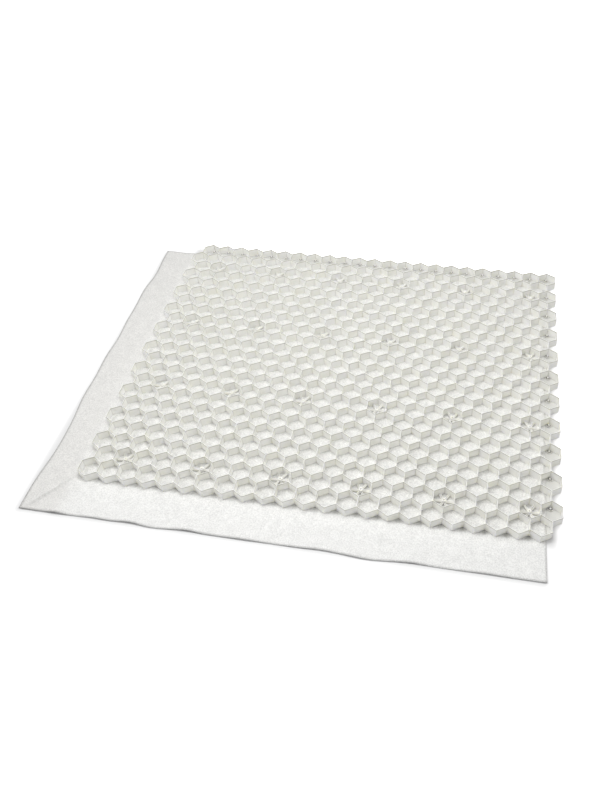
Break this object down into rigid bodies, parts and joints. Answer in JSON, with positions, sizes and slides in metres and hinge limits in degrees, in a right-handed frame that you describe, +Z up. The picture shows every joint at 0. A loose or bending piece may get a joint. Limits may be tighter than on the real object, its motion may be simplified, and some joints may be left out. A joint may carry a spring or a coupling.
{
  "type": "gravel grid",
  "caption": "Flat honeycomb of upright plastic walls, open at the top, on a sheet of white fabric that sticks out at the left and the front; it holds the gravel of a path or drive in place.",
  "frame": {"origin": "on the ground, below the middle of the part's whole box, fabric included", "axes": "+X along the rows of cells, away from the side where the fabric sticks out; +Y across the rows, away from the front edge where the fabric sticks out; +Z up, out of the cells' mouths"},
  "size_m": [1.518, 1.2558, 0.031],
  "materials": {
    "moulded_plastic": "moulded, satin",
    "nonwoven_fabric": "heat-bonded non-woven felt"
  },
  "bodies": {
    "root": {"honeycomb_front": "moulded_plastic", "honeycomb_middle": "moulded_plastic", "honeycomb_back": "moulded_plastic", "ground_fabric": "nonwoven_fabric"}
  },
  "joints": []
}
